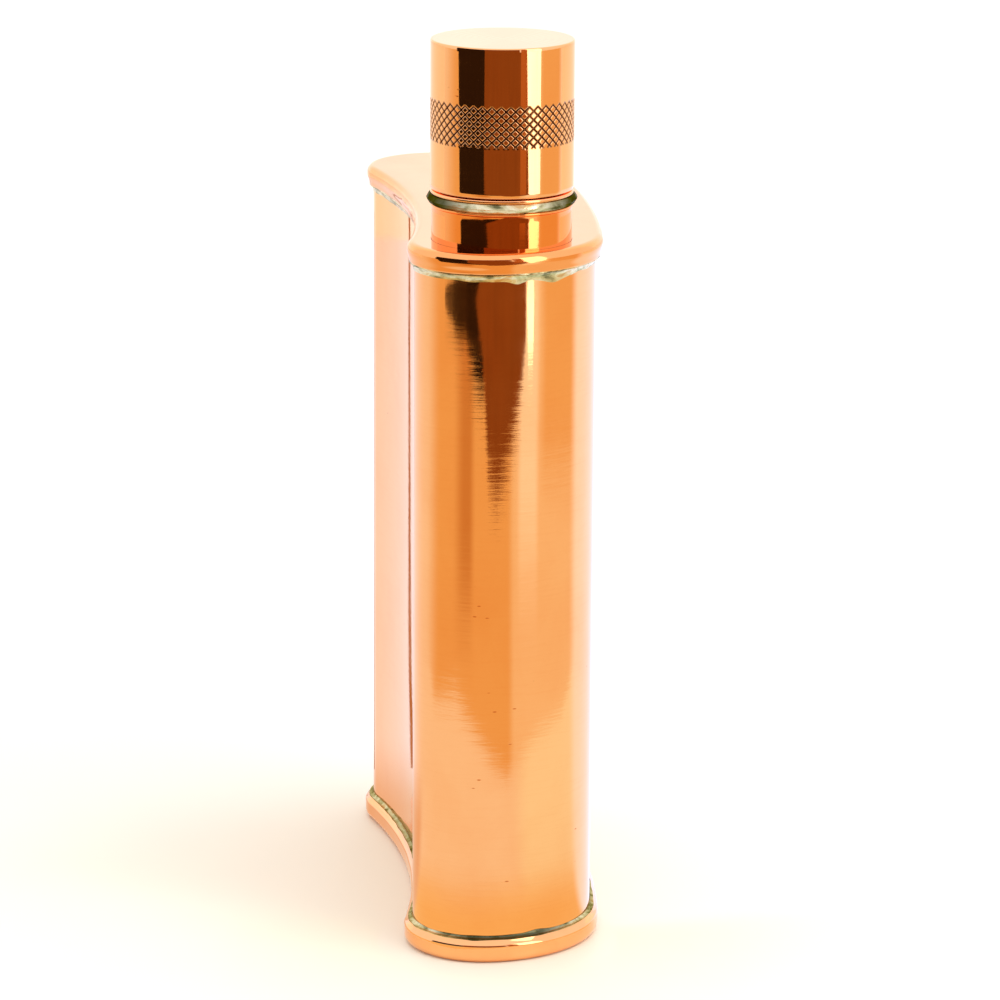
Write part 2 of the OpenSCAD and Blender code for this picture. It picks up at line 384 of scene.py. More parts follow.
def cork_material():
    n = Nodes("washer_cork")
    shader = n.shader
    grains = n.add("ShaderNodeTexVoronoi", feature="F1")
    grains.inputs["Scale"].default_value = 1.0
    n.link(n.place((900, 900, 900)), grains.inputs["Vector"])
    tint = n.ramp(grains.outputs["Color"], (0.2, (0.36, 0.20, 0.10)), (0.8, (0.62, 0.42, 0.25)))
    pores = n.noise((700, 700, 700), 4.0)
    pores = n.ramp(pores, (0.36, (0.10, 0.05, 0.03)), (0.44, WHITE))
    n.link(n.mix(1.0, tint, pores, "MULTIPLY"), shader.inputs["Base Color"])
    shader.inputs["Roughness"].default_value = 0.85
    normal = n.bump(pores, 0.00012, 0.8)
    n.link(n.bump(grains.outputs["Distance"], 0.00008, 0.6, normal), shader.inputs["Normal"])
    return n.material


COPPER = (0.95, 0.46, 0.19)
COPPER_DEEP = (0.88, 0.33, 0.10)
TURNED_DEEP = (0.90, 0.36, 0.12)
NECK_TONE = (0.92, 0.33, 0.09)
NECK_DEEP = (0.87, 0.25, 0.05)
LID_TONE = (0.93, 0.39, 0.13)
LID_DEEP = (0.87, 0.30, 0.08)
# Painted shade in and beside the knurl's cuts on the cap.
KNURL_PAINTED_SHADE = (0.17, 0.06, 0.018)
SOLDER_DARK = (0.05, 0.052, 0.02)
OXIDE_TINT = (0.36, 0.34, 0.24)
BODY_COPPER = copper(
    "body_copper", COPPER, COPPER_DEEP, streaks=(140, 140, 2500), rough=(0.03, 0.07),
    brush_m=0.000006, pit_m=0.000003, brushed_below_m=0.108,
)
PLATE_COPPER = copper(
    "plate_copper", COPPER, COPPER_DEEP, streaks=(300, 300, 500), rough=(0.05, 0.12),
    brush_m=0.000003, pit_m=0.000005,
)
LID_COPPER = copper(
    "lid_copper", LID_TONE, LID_DEEP, streaks=(300, 300, 500), rough=(0.05, 0.12),
    brush_m=0.000003, pit_m=0.000005,
)
NECK_COPPER = copper(
    "neck_copper", NECK_TONE, NECK_DEEP, streaks=(60, 60, 3000), rough=(0.03, 0.07),
    brush_m=0.0000010, pit_m=0.000004,
)
SPOUT_COPPER = copper(
    "spout_copper", COPPER, TURNED_DEEP, streaks=(60, 60, 4000), rough=(0.08, 0.16),
    brush_m=0.000002, pit_m=0.000005,
)
CAP_COPPER = copper(
    "cap_copper", COPPER, TURNED_DEEP, streaks=(40, 40, 5000), rough=(0.03, 0.07),
    brush_m=0.0000008, pit_m=0.000004, shade_attribute="knurl_shade",
)
SOLDER = solder_material("silver_solder")
# The bead's darker left and right flanks are a painted reflection of the dark room.
BEAD_SOLDER = solder_material("bead_solder", dark_mm=(5.0, 10.0), edge_tint=OXIDE_TINT)
# The base fillet is darker in its front middle.
BASE_SOLDER = solder_material("base_solder", dark_mm=(13.0, 6.0), edge_tint=OXIDE_TINT)
CORK = cork_material()

# ---- body wall -------------------------------------------------------------------------


def make_wall():
    """The bent sheet: outer and inner skins, open along the seam in the middle of the far end."""
    seam_half = (SEAM_HIGH[0] - SEAM_LOW[0]) / 2
    low, high = WALL_LOW[2], WALL_HIGH[2]
    outer_z = np.linspace(low, high, 90)
    inner_z = np.linspace(high, low, 12)
    first = shell_points(0.0, 0.0)[:1, :2]
    rows = []
    for z in outer_z:
        fade = smooth_step((z - low) / 6) * smooth_step((high - z) / 6)
        dents = waves(AROUND, z, 11, (2, 9), (35, 110)) * 0.5 + 0.5
        ripples = waves(AROUND, z, 12, (8, 26), (9, 30)) * 0.5 + 0.5
        rows.append(shell_points(-fade * (0.10 * dents + 0.008 * ripples), z))
    for z in inner_z:
        rows.append(shell_points(-SHEET, z))
    points = np.array(rows)
    # Both ends of the sheet stop half the seam's width from the middle of the far end.
    start = points[:, :1].copy()
    start[:, :, 0] = first[0, 0] - seam_half
    end = points[:, :1].copy()
    end[:, :, 0] = first[0, 0] + seam_half
    points = np.concatenate([start, points[:, 1:], end], axis=1)
    count = points.shape[1]
    faces = grid_faces(len(rows), count, True, False)
    faces.append([i * count for i in range(len(rows))])
    faces.append([i * count + count - 1 for i in reversed(range(len(rows)))])
    obj = make_object("flask_wall", points.reshape(-1, 3), faces, BODY_COPPER)
    return add_piece(obj, "flask", "body_copper", "body_wall")


def make_seam():
    """A narrow irregular bead that fills the seam and stands a little proud of the wall."""
    half = (SEAM_HIGH[0] - SEAM_LOW[0]) / 2
    middle = (SEAM_HIGH[0] + SEAM_LOW[0]) / 2
    levels = np.linspace(SEAM_LOW[2], SEAM_HIGH[2], 160)
    proud = np.cos(np.linspace(-np.pi / 2, np.pi / 2, 9))
    rows = []
    for z in levels:
        height = 0.14 + 0.09 * waves(0.3, z, 21, (1, 3), (3, 14))
        width = half + 0.25 + 0.12 * waves(0.7, z, 22, (1, 3), (4, 12))
        across = middle + np.linspace(-width, width, 9)
        face = SEAM_HIGH[1] - 0.03 + height * proud
        back = [(middle + half, SEAM_HIGH[1] - SHEET), (middle - half, SEAM_HIGH[1] - SHEET)]
        row = [(x, y, z) for x, y in zip(across, face)] + [(x, y, z) for x, y in back]
        rows.append(row)
    points = np.array(rows)
    count = points.shape[1]
    faces = grid_faces(len(rows), count, False, True)
    faces.append(list(range(count)))
    faces.append([(len(rows) - 1) * count + i for i in reversed(range(count))])
    obj = make_object("side_seam", points.reshape(-1, 3), faces, SOLDER, 60)
    return add_piece(obj, "flask", "solder", "side_seam_solder")


# ---- end plates ------------------------------------------------------------------------


def plate_profile(overhang, edge_r, flange_h, drawn):
    """(grow, depth below the plate's face) from the inside of the flange's foot outwards.

    drawn is the share of the flange's height over which it draws in towards its foot.
    """
    foot = PLATE_FIT + SHEET
    foot_depth = flange_h - 0.15
    profile = [(PLATE_FIT, SHEET + 0.3), (PLATE_FIT, foot_depth)]
    profile += [(PLATE_FIT + 0.12, flange_h), (foot - 0.18, flange_h), (foot - 0.02, foot_depth)]
    side_h = foot_depth - 0.15 - edge_r
    for t in np.linspace(0.08, 1, 9):
        grow = foot + (overhang - foot) * smooth_step(t / drawn)
        profile.append((grow, edge_r + side_h * (1 - t)))
    for t in np.linspace(0, math.pi / 2, 14)[1:]:
        profile.append((overhang - edge_r * (1 - math.cos(t)), edge_r * (1 - math.sin(t))))
    profile.append((overhang - edge_r - RIM_FLAT_W, 0.0))
    return profile


def dent_edge(grow, depth, overhang, seed, amount):
    """How far the handwork has pushed a rim inwards, for each point round the outline."""
    share = smooth_step((grow - 0.4) / (overhang - 0.4))
    pushed = waves(AROUND, depth * 0.6, seed, (4, 34), (4, 12), 16) * 0.5 + 0.5
    return amount * share * pushed


def face_points(boundary, holes, spacing, keep_off):
    """Points inside a closed boundary and outside round holes, on a staggered grid."""
    low, high = boundary.min(0), boundary.max(0)
    inside = []
    rows = int((high[1] - low[1]) / (spacing * 0.87))
    for i in range(rows + 1):
        y = low[1] + i * spacing * 0.87
        crossings = []
        for a, b in zip(boundary, np.roll(boundary, -1, 0)):
            if (a[1] > y) != (b[1] > y):
                crossings.append(a[0] + (y - a[1]) * (b[0] - a[0]) / (b[1] - a[1]))
        crossings.sort()
        for left, right in zip(crossings[::2], crossings[1::2]):
            x = left + keep_off + (i % 2) * spacing / 2
            while x < right - keep_off:
                point = np.array([x, y])
                gap = np.min(np.linalg.norm(boundary - point, axis=1))
                clear = all(np.linalg.norm(point - c) > r + keep_off for c, r in holes)
                if gap > keep_off and clear:
                    inside.append(point)
                x += spacing
    return inside


def make_plate(
    name, node, material, face_z, sign, overhang, edge_r, flange_h, drawn, hole, seed, dents
):
    """A plate with a rolled rim and a flange. sign is 1 when its face looks up."""
    rows = []
    for grow, depth in plate_profile(overhang, edge_r, flange_h, drawn):
        pushed = dent_edge(grow, depth, overhang, seed, dents)
        wander = 0.0
        if depth > flange_h - 0.4:
            wander = 0.10 * (waves(AROUND, 0.0, seed + 1, (3, 20), (5, 9)) * 0.5 + 0.5)
        rows.append(shell_points(grow - pushed, face_z - sign * (depth - wander)))
    rim = rows[-1]
    faces = grid_faces(len(rows), N, False, True)
    if sign > 0:
        faces = [tuple(reversed(f)) for f in faces]
    turn = np.linspace(0, 2 * np.pi, 144, endpoint=False)
    circle = NECK + hole * np.c_[np.cos(turn), np.sin(turn)] if hole else np.zeros((0, 2))
    holes = [(NECK, hole)] if hole else []
    inner = face_points(rim[:, :2], holes, 2.2, 1.1)
    flat = [Vector(p) for p in np.vstack([rim[:, :2], circle, np.array(inner)])]
    count = len(circle)
    edges = [(i, (i + 1) % N) for i in range(N)]
    edges += [(N + i, N + (i + 1) % count) for i in range(count)]
    made = geometry.delaunay_2d_cdt(flat, edges, [], 1, 1e-7)
    xy = np.array([v[:] for v in made[0]])
    edge_gap = np.min(np.linalg.norm(xy[:, None] - rim[None, ::3, :2], axis=2), axis=1)
    sag = waves(xy[:, 0] / 60 + 0.5, xy[:, 1], seed + 2, (1, 5), (12, 60), 12) * 0.5 + 0.5
    depth = FACE_SAG * sag * smooth_step((edge_gap - 0.3) / 7)
    if hole:
        depth = depth * smooth_step((np.linalg.norm(xy - NECK, axis=1) - hole) / 4)
    # The face's first N points are the rim's own; the underside repeats the face a sheet lower.
    rim_start, face_start = (len(rows) - 1) * N, len(rows) * N - N
    under_start = len(rows) * N + len(xy) - N
    face = np.c_[xy, face_z - sign * depth]
    points = np.vstack(rows + [face[N:], face - [0, 0, sign * SHEET]])
    for triangle in made[2]:
        if all(N <= i < N + count for i in triangle):
            continue  # it would close the hole
        faces.append(tuple(rim_start + i if i < N else face_start + i for i in triangle))
        faces.append(tuple(under_start + i for i in triangle))
    for i in range(N):
        j = (i + 1) % N
        faces.append((i, j, under_start + j, under_start + i))
    for i in range(N, N + count):
        j = N + (i - N + 1) % count
        faces.append((face_start + i, face_start + j, under_start + j, under_start + i))
    obj = make_object(name, points, faces, material, 50)
    return add_piece(obj, "flask", "plate_copper", node)


# ---- solder fillets --------------------------------------------------------------------


def make_fillet(name, node, z, sign, height, material, seed, blobs):
    """Solder between the wall and a flange's foot. sign is 1 when it runs down from z.

    Each blob is its place and width, as shares of the way round, and its extra height.
    """
    leg = PLATE_FIT + SHEET
    uneven = waves(AROUND, 0.0, seed, (3, 14), (5, 9), 12) * 0.5 + 0.5
    fine = waves(AROUND, 0.0, seed + 1, (20, 60), (5, 9), 16) * 0.5 + 0.5
    tall = height * (0.30 + 0.46 * uneven + 0.20 * fine)
    for place, width, extra in blobs:
        tall = tall + extra * np.exp(-(((AROUND - place) / width) ** 2))
    wide = leg * (0.80 + 0.35 * fine * uneven)
    rows = []
    inner = -0.25
    rows.append(shell_points(inner, z + sign * 0.25))
    rows.append(shell_points(inner, z - sign * tall * 0.9))
    for t in np.linspace(0, 1, 9):
        hollow = (1 - t) ** 1.7
        lump = 0.05 * waves(AROUND, t * 3, seed + 2, (25, 80), (2, 5), 14) * np.sin(np.pi * t)
        rows.append(shell_points(wide * t**1.5 + lump + 0.01, z - sign * tall * hollow))
    rows.append(shell_points(wide, z + sign * 0.25))
    points = np.vstack(rows)
    faces = grid_faces(len(rows), N, True, True)
    if sign < 0:
        faces = [tuple(reversed(f)) for f in faces]
    obj = make_object(name, points, faces, material, 60)
    return add_piece(obj, "flask", "solder", node)


# ---- turned pieces ---------------------------------------------------------------------


def turned(profile, count, radius_change=None):
    """Points and faces of a closed profile [(r, z)] turned round the neck's axis."""
    turn = np.linspace(0, 2 * np.pi, count, endpoint=False)
    rows = []
    for i, (r, z) in enumerate(profile):
        change = 0.0 if radius_change is None else radius_change(i, turn, r, z)
        radius = r + change
        rows.append(
            np.c_[
                NECK[0] + radius * np.cos(turn),
                NECK[1] + radius * np.sin(turn),
                np.full(count, z),
            ]
        )
    return np.vstack(rows), [tuple(reversed(f)) for f in grid_faces(len(rows), count, True, True)]


def make_neck():
    top, low = TUBE_HIGH[2], TUBE_LOW[2]
    bore = NECK_R - NECK_WALL
    rim = []
    for t in np.linspace(-math.pi / 2, math.pi / 2, 7):
        rim.append(
            (LIP_R - 0.25 + 0.25 * math.cos(t), top - 0.25 + NECK_RIM_H / 2 * math.sin(t))
        )
    profile = [(bore, low), (NECK_R, low), (NECK_R, TOP_HIGH[2] - SHEET)]
    for z in np.linspace(TOP_HIGH[2], top - NECK_RIM_H - 0.35, 8):
        profile.append((NECK_R, z))
    profile += [(NECK_R + 0.02, top - NECK_RIM_H - 0.1)] + rim + [(bore, top)]
    points, faces = turned(profile, 192)
    obj = make_object("neck_tube_skin", points, faces, NECK_COPPER)
    return add_piece(obj, "flask", "neck_copper", "neck_tube")


def make_neck_solder():
    leg = (NECK_SOLDER_HIGH[0] - NECK_SOLDER_LOW[0]) / 2 - NECK_R
    z = NECK_SOLDER_HIGH[2]
    profile = [(NECK_R + 0.01, z - leg), (NECK_R + leg * 0.3, z - leg * 0.45)]
    profile += [(NECK_R + leg, z), (NECK_R + 0.01, z)]

    def uneven(i, turn, r, z):
        if i != 2:
            return 0.0
        return 0.04 * waves(turn / (2 * np.pi), 0.0, 31, (5, 30), (3, 6)) - 0.04

    points, faces = turned(profile, 160, uneven)
    obj = make_object("neck_solder_ring", points, faces, SOLDER)
    return add_piece(obj, "flask", "solder", "neck_solder")


def make_bead():
    """The solder ring under the lip: a bead with lumps that comes to a blunt edge."""
    low, high = BEAD_LOW[2], BEAD_HIGH[2]
    half = (high - low) / 2
    middle = BEAD_R - half
    profile = [(PLUG_R, high), (PLUG_R, low)]
    for t in np.linspace(-math.pi / 2, math.pi / 2, 15):
        height = math.copysign(abs(math.sin(t)) ** 2.2, t)
        profile.append((middle + half * math.cos(t), low + half + half * height))

    def uneven(i, turn, r, z):
        if i < 2:
            return 0.0
        share = smooth_step((r - middle) / half)
        lumps = waves(turn / (2 * np.pi), z - low, 41, (6, 40), (1.5, 5), 18) * 0.5 + 0.5
        slow = waves(turn / (2 * np.pi), 0.0, 42, (1, 4), (5, 9), 8) * 0.5 + 0.5
        return -share * (0.16 * lumps + 0.18 * slow)

    points, faces = turned(profile, 256, uneven)
    obj = make_object("collar_bead", points, faces, BEAD_SOLDER, 60)
    return add_piece(obj, "flask", "solder", "collar_solder")


# ---- thread ----------------------------------------------------------------------------


def ridge(root_r, out, start_z, turns, steps=72):
    """A right-handed trapezoid ridge on a cylinder, with rounded crests and run-outs."""
    last = int(turns * steps)
    half_root, half_crest = THREAD_ROOT_W / 2, THREAD_CREST_W / 2
    shape = [(-0.25, -half_root), (0.0, -half_root * 0.98)]
    shape += [(0.88, -half_crest * 1.15), (0.99, -half_crest * 0.7)]
    shape += [(0.99, half_crest * 0.7), (0.88, half_crest * 1.15)]
    shape += [(0.0, half_root * 0.98), (-0.25, half_root)]
    rows = []
    for i in range(last + 1):
        angle = 2 * math.pi * i / steps
        rise = min(1, (i + 1) / 13, (last - i + 1) / 13)
        for height, along in shape:
            up = height * THREAD_H * (rise if height > 0 else 0.6)
            r = root_r + out * up
            z = start_z + PITCH * i / steps + along * (0.4 + 0.6 * rise)
            rows.append((NECK[0] + r * math.cos(angle), NECK[1] + r * math.sin(angle), z))
    k = len(shape)
    faces = grid_faces(last + 1, k, False, True)
    ends = [list(range(k)), [last * k + i for i in reversed(range(k))]]
    faces += [tuple(f) for f in ends]
    if out < 0:
        faces = [tuple(reversed(f)) for f in faces]
    return np.array(rows), faces


def joined(name, parts, material, sharp_deg):
    """One object from several (points, faces) parts."""
    points, faces = [], []
    for part_points, part_faces in parts:
        shift = sum(len(p) for p in points)
        points.append(part_points)
        faces += [tuple(shift + i for i in f) for f in part_faces]
    return make_object(name, np.vstack(points), faces, material, sharp_deg)


def make_spout():
    bottom, top = SPOUT_LOW[2], SPOUT_HIGH[2]
    lip_low = LIP_TOP - LIP_H
    profile = [(MOUTH_R, bottom), (PLUG_R, bottom), (PLUG_R, lip_low), (LIP_R - 0.15, lip_low)]
    for t in np.linspace(-math.pi / 2, math.pi / 2, 7):
        profile.append((LIP_R - 0.15 + 0.15 * math.cos(t), LIP_TOP - 0.3 + 0.3 * math.sin(t)))
    profile += [(SPOUT_R + 0.5, LIP_TOP), (SPOUT_R + 0.15, LIP_TOP + 0.12)]
    profile += [(SPOUT_R, LIP_TOP + 0.5), (SPOUT_R, top - 0.5), (SPOUT_R - 0.12, top - 0.15)]
    profile += [(SPOUT_R - 0.4, top), (MOUTH_R + 0.25, top), (MOUTH_R + 0.06, top - 0.08)]
    profile += [(MOUTH_R, top - 0.3)]
    parts = [turned(profile, 192), ridge(SPOUT_R, 1, LIP_TOP + PITCH, TURNS)]
    obj = joined("spout_and_lip", parts, SPOUT_COPPER, 40)
    return add_piece(obj, "flask", "spout_copper", "spout")


# ---- cap -------------------------------------------------------------------------------

KNURL_ROUND = 48
KNURL_ROWS = 4.7
KNURL_FROM_TOP = 9.3
KNURL_H = 6.6
KNURL_DEPTH = 0.30
KNURL_HALF_W = 0.15
# Half width of the painted shade band along each knurl line.
KNURL_SHADE_HALF_W = 0.22
KNURL_END = 0.25
CAP_EDGE = 0.25


def knurl_share(turn, z, top, half_w):
    """1 on the crossed lines and 0 on the flats between them; lines are 2 * half_w cells wide."""
    down = (top - KNURL_FROM_TOP - z) / KNURL_H
    across = turn / (2 * np.pi) * KNURL_ROUND
    along = down * KNURL_ROWS
    share = 0.0
    for family in (across + along, across - along):
        gap = np.abs((family + 0.5) % 1 - 0.5)
        share = np.maximum(share, 1 - smooth_step(gap / half_w))
    return share


def make_cap():
    low, top = CAP_LOW[2], CAP_HIGH[2]
    ceiling = WASHER_HIGH[2] + (WASHER_LOW[2] - SPOUT_HIGH[2])
    knurl_top, knurl_low = top - KNURL_FROM_TOP, top - KNURL_FROM_TOP - KNURL_H
    count = KNURL_ROUND * 16
    profile = [(CAP_BORE_R, ceiling), (CAP_BORE_R, low + 0.4), (CAP_BORE_R + 0.25, low)]
    profile += [(LIP_R - CAP_EDGE, low), (LIP_R - 0.08, low + 0.08), (LIP_R, low + CAP_EDGE)]
    profile += [(LIP_R, z) for z in np.linspace(low + 0.8, knurl_low - 0.25, 8)]
    profile += [(LIP_R, z) for z in np.linspace(knurl_low, knurl_top, 76)]
    profile += [(LIP_R, z) for z in np.linspace(knurl_top + 0.25, top - 0.8, 8)]
    profile += [(LIP_R, top - 0.22), (LIP_R - 0.03, top - 0.10), (LIP_R - 0.10, top - 0.03)]
    # The flat top is very slightly dished, with a few fine turning steps.
    for r in np.linspace(LIP_R - 0.22, 0.4, 40):
        wave = 0.006 * math.sin(r * 5.5) + 0.012 * (1 - (r / LIP_R) ** 2)
        profile.append((r, top - 0.006 - abs(wave)))
    profile.append((0.02, top - 0.02))
    profile.append((0.02, ceiling))

    def cut(i, turn, r, z):
        if abs(r - LIP_R) > 1e-6 or not knurl_low <= z <= knurl_top:
            return 0.0
        ends = smooth_step((z - knurl_low) / KNURL_END) * smooth_step((knurl_top - z) / KNURL_END)
        return -KNURL_DEPTH * ends * knurl_share(turn, z, top, KNURL_HALF_W)

    shell = turned(profile, count, cut)
    thread = ridge(CAP_BORE_R, -1, LIP_TOP + PITCH / 2, TURNS)
    obj = joined("screw_cap", [shell, thread], CAP_COPPER, 55)
    # Painted shade: a band a little wider than each knurl cut is stored as a point attribute that
    # darkens the colour there.
    place = np.array([v.co[:] for v in obj.data.vertices]) / MM
    aside = place[:, :2] - NECK
    turn = np.arctan2(aside[:, 1], aside[:, 0])
    dark = knurl_share(turn, place[:, 2], top, KNURL_SHADE_HALF_W)
    knurled = (place[:, 2] > knurl_low - 0.01) & (place[:, 2] < knurl_top + 0.01)
    knurled &= np.linalg.norm(aside, axis=1) > CAP_BORE_R + KNURL_DEPTH
    dark = np.where(knurled, dark, 0)
    knurl_shade = obj.data.attributes.new("knurl_shade", "FLOAT", "POINT")
    knurl_shade.data.foreach_set("value", dark.astype(np.float32))
    return add_piece(obj, "cap", "cap_copper", "cap_shell")


def make_washer():
    low, high = WASHER_LOW[2], WASHER_HIGH[2]
    bevel = 0.15
    profile = [(0.02, low), (WASHER_R - bevel, low), (WASHER_R, low + bevel)]
    profile += [(WASHER_R, high - bevel), (WASHER_R - bevel, high), (0.02, high)]

    def pressed(i, turn, r, z):
        if r < 1:
            return 0.0
        return -0.05 * (waves(turn / (2 * np.pi), z, 51, (5, 30), (1, 4)) * 0.5 + 0.5)

    points, faces = turned(profile, 128, pressed)
    obj = make_object("cork_washer", points, faces, CORK)
    return add_piece(obj, "washer", "washer_cork", "seal_washer")


make_wall()
make_seam()
make_plate(
    "top_plate_skin", "top_plate", LID_COPPER, face_z=TOP_HIGH[2], sign=1,
    overhang=TOP_OVERHANG, edge_r=TOP_EDGE_R, flange_h=TOP_HIGH[2] - TOP_LOW[2], drawn=0.8,
    hole=NECK_R + PLATE_FIT, seed=61, dents=0.14,
)
make_plate(
    "base_plate_skin", "base_plate", PLATE_COPPER, face_z=BASE_LOW[2], sign=-1,
    overhang=BASE_OVERHANG, edge_r=BASE_EDGE_R, flange_h=BASE_HIGH[2] - BASE_LOW[2], drawn=0.3,
    hole=0, seed=71, dents=0.16,
)
make_fillet(
    "top_solder_fillet", "top_solder", z=TOP_LOW[2], sign=1,
    height=TOP_SOLDER_HIGH[2] - TOP_SOLDER_LOW[2], material=SOLDER, seed=81,
    blobs=[(0.50, 0.006, 0.5), (0.53, 0.010, 0.8)],
)
make_fillet(
    "base_solder_fillet", "base_solder", z=BASE_HIGH[2], sign=-1,
    height=(BASE_SOLDER_HIGH[2] - BASE_SOLDER_LOW[2]) * BASE_SOLDER_SHARE,
    material=BASE_SOLDER, seed=91, blobs=[(0.52, 0.01, 0.3)],
)
make_neck()
make_neck_solder()
make_bead()
make_spout()
make_cap()
make_washer()

# ---- floor, light and camera -----------------------------------------------------------


def plain_material(name, colour, rough, glow=0.0):
    n = Nodes(name)
    grain = n.noise((30, 30, 30), 4.0)
    darker = tuple(c * 0.985 for c in colour)
    tint = n.mix(n.spread(grain, 0, 1), colour, darker)
    n.link(tint, n.shader.inputs["Base Color"])
    n.shader.inputs["Roughness"].default_value = rough
    if glow:
        n.shader.inputs["Emission Color"].default_value = (*colour, 1)
        n.shader.inputs["Emission Strength"].default_value = glow
    return n.material


def stage_sheet(name, corners_m, material):
    """A flat stage sheet through corners given in metres."""
    mesh = bpy.data.meshes.new(name)
    mesh.from_pydata([tuple(c) for c in corners_m], [], [tuple(range(len(corners_m)))])
    mesh.materials.append(material)
    obj = bpy.data.objects.new(name, mesh)
    bpy.context.collection.objects.link(obj)
    return obj


CAMERA_M = Vector((-0.0952, -0.8156, 0.2708))
CAMERA_YAW = 0.11905
CAMERA_PITCH = 0.24423
CAMERA_ROLL = 0.0063
LENS_MM = 180.0
SENSOR_MM = 36.0
WORLD_COLOUR = (0.98, 1.0, 1.12, 1)
WORLD_STRENGTH = 1.2
KEY_PLACE_M = (0.55, 0.35, 0.75)
KEY_SIZE_M = 0.5
KEY_POWER_W = 2.2
FLOOR_REACH_M = 4.0
# Reflection cards are placed from the neck, in metres: to the right and towards the front, as
# the camera looks. Only reflected rays meet them: the camera doesn't, and they cast no shadow.
AHEAD = Vector((-math.sin(CAMERA_YAW), -math.cos(CAMERA_YAW), 0))
RIGHT = Vector((math.cos(CAMERA_YAW), -math.sin(CAMERA_YAW), 0))
NECK_M = Vector((*(NECK * MM), 0))


def from_neck(right, front, up):
    return NECK_M + RIGHT * right + AHEAD * front + Vector((0, 0, up))


def light_only(n, tint, strength):
    n.shader.inputs["Base Color"].default_value = (0, 0, 0, 1)
    n.shader.inputs["Roughness"].default_value = 1.0
    n.shader.inputs["Specular IOR Level"].default_value = 0.0
    n.link(tint, n.shader.inputs["Emission Color"])
    n.shader.inputs["Emission Strength"].default_value = strength
    return n.material


def glowing(name, colour, strength):
    """Even light with a slight mottle, so that a card reads as a surface."""
    n = Nodes(name)
    mottle = n.noise((14, 14, 14), 5.0, 0.6)
    tint = n.mix(n.spread(mottle, 0, 1), colour, tuple(c * 0.8 for c in colour))
    return light_only(n, tint, strength)


def only_reflected(obj):
    obj.visible_camera = False
    obj.visible_diffuse = False
    obj.visible_shadow = False
    obj.visible_transmission = False


def reflection_card(name, corners, material):
    only_reflected(stage_sheet(name, [from_neck(*c) for c in corners], material))


def at_bearing(distance, bearing_deg, up):
    """A place by its distance from the neck and its bearing, from ahead towards the right."""
    turn = math.radians(bearing_deg)
    return (distance * math.sin(turn), distance * math.cos(turn), up)


def standing(distance, from_deg, to_deg, low, high):
    """Corners of an upright card that spans two bearings."""
    sides = (from_deg, low), (to_deg, low), (to_deg, high), (from_deg, high)
    return [at_bearing(distance, bearing, up) for bearing, up in sides]


def blend(first, second, share):
    return np.array(first) * (1 - share) + np.array(second) * share


def table_tint(distance, bearing):
    """The table's light: cream by the flask, tan in front, with a dark and a pale streak."""
    edge = np.interp(bearing, TABLE_EDGE_DEG, TABLE_EDGE_M)
    tan = smooth_step((distance - edge) / 0.012 + 0.5) * smooth_step((bearing + 108) / 34)
    right = smooth_step((bearing - 27) / 8)
    far_right = right * smooth_step((bearing - 60) / 10) * smooth_step((distance - 0.31) / 0.08)
    tint = blend(TABLE_TAN, TABLE_PALE, right)
    tint = blend(tint, TABLE_TAN_RIGHT, far_right)
    shade = smooth_step((bearing + 54) / 22) * smooth_step((-14 - bearing) / 12)
    tint = blend(tint, TABLE_SHADE, shade * smooth_step((distance - 0.17) / 0.12))
    spill = smooth_step((bearing - 36) / 6) * smooth_step((62 - bearing) / 6)
    tint = blend(tint, TABLE_SPILL, spill * smooth_step((distance - 0.17) / 0.2))
    cream = blend(TABLE_CREAM, TABLE_CREAM_RIGHT, smooth_step((bearing - 30) / 20))
    cream = blend(TABLE_WARM, cream, smooth_step((distance - 0.03) / 0.03))
    tint = blend(cream, tint, tan)
    tint = blend(tint, TABLE_LEFT, smooth_step((-108 - bearing) / 30))
    tint = blend(tint, TABLE_RIGHT, smooth_step((bearing - 100) / 14))
    behind = smooth_step((-104 - bearing) / 16)
    return blend(tint, TABLE_UNDER, behind * smooth_step((0.115 - distance) / 0.05))


def make_table_card():
    bearings = np.arange(-180, 181, 2)
    distances = np.r_[0.02:0.10:0.01, 0.10:0.20:0.006, 0.22:0.38:0.03, 0.41, 0.60, 2.5]
    points, tints = [], []
    for distance in distances:
        for bearing in bearings:
            tints.append([*table_tint(distance, bearing), 1.0])
            ahead = TABLE_FRONT_DEG[0] < bearing < TABLE_FRONT_DEG[1]
            reach = distance if ahead else min(distance, TABLE_BACK_REACH_M)
            points.append(from_neck(*at_bearing(reach, bearing, TABLE_LIFT_M)))
    mesh = bpy.data.meshes.new("table")
    mesh.from_pydata(points, [], grid_faces(len(distances), len(bearings), False, False))
    colours = mesh.attributes.new("tint", "FLOAT_COLOR", "POINT")
    colours.data.foreach_set("color", np.array(tints, dtype=np.float32).ravel())
    n = Nodes("table_light")
    attribute = n.add("ShaderNodeAttribute", attribute_name="tint")
    mesh.materials.append(light_only(n, attribute.outputs["Color"], 1.0))
    obj = bpy.data.objects.new("table", mesh)
    bpy.context.collection.objects.link(obj)
    only_reflected(obj)


FLOOR_CREAM = (0.95, 0.91, 0.72)
TABLE_CREAM = (1.04, 1.04, 1.02)
TABLE_CREAM_RIGHT = (1.06, 1.18, 1.12)
TABLE_UNDER = (0.92, 0.70, 0.52)
TABLE_TAN = (0.93, 0.65, 0.30)
TABLE_TAN_RIGHT = (0.96, 0.70, 0.36)
TABLE_PALE = (1.02, 0.92, 0.72)
TABLE_SHADE = (0.70, 0.38, 0.13)
TABLE_SPILL = (1.15, 1.25, 1.35)
TABLE_WARM = (1.03, 0.84, 0.46)
TABLE_LEFT = (1.1, 1.1, 1.2)
TABLE_RIGHT = (1.25, 1.35, 1.75)
TABLE_LIFT_M = 0.001
TABLE_FRONT_DEG = (-106, 110)
TABLE_BACK_REACH_M = 0.601
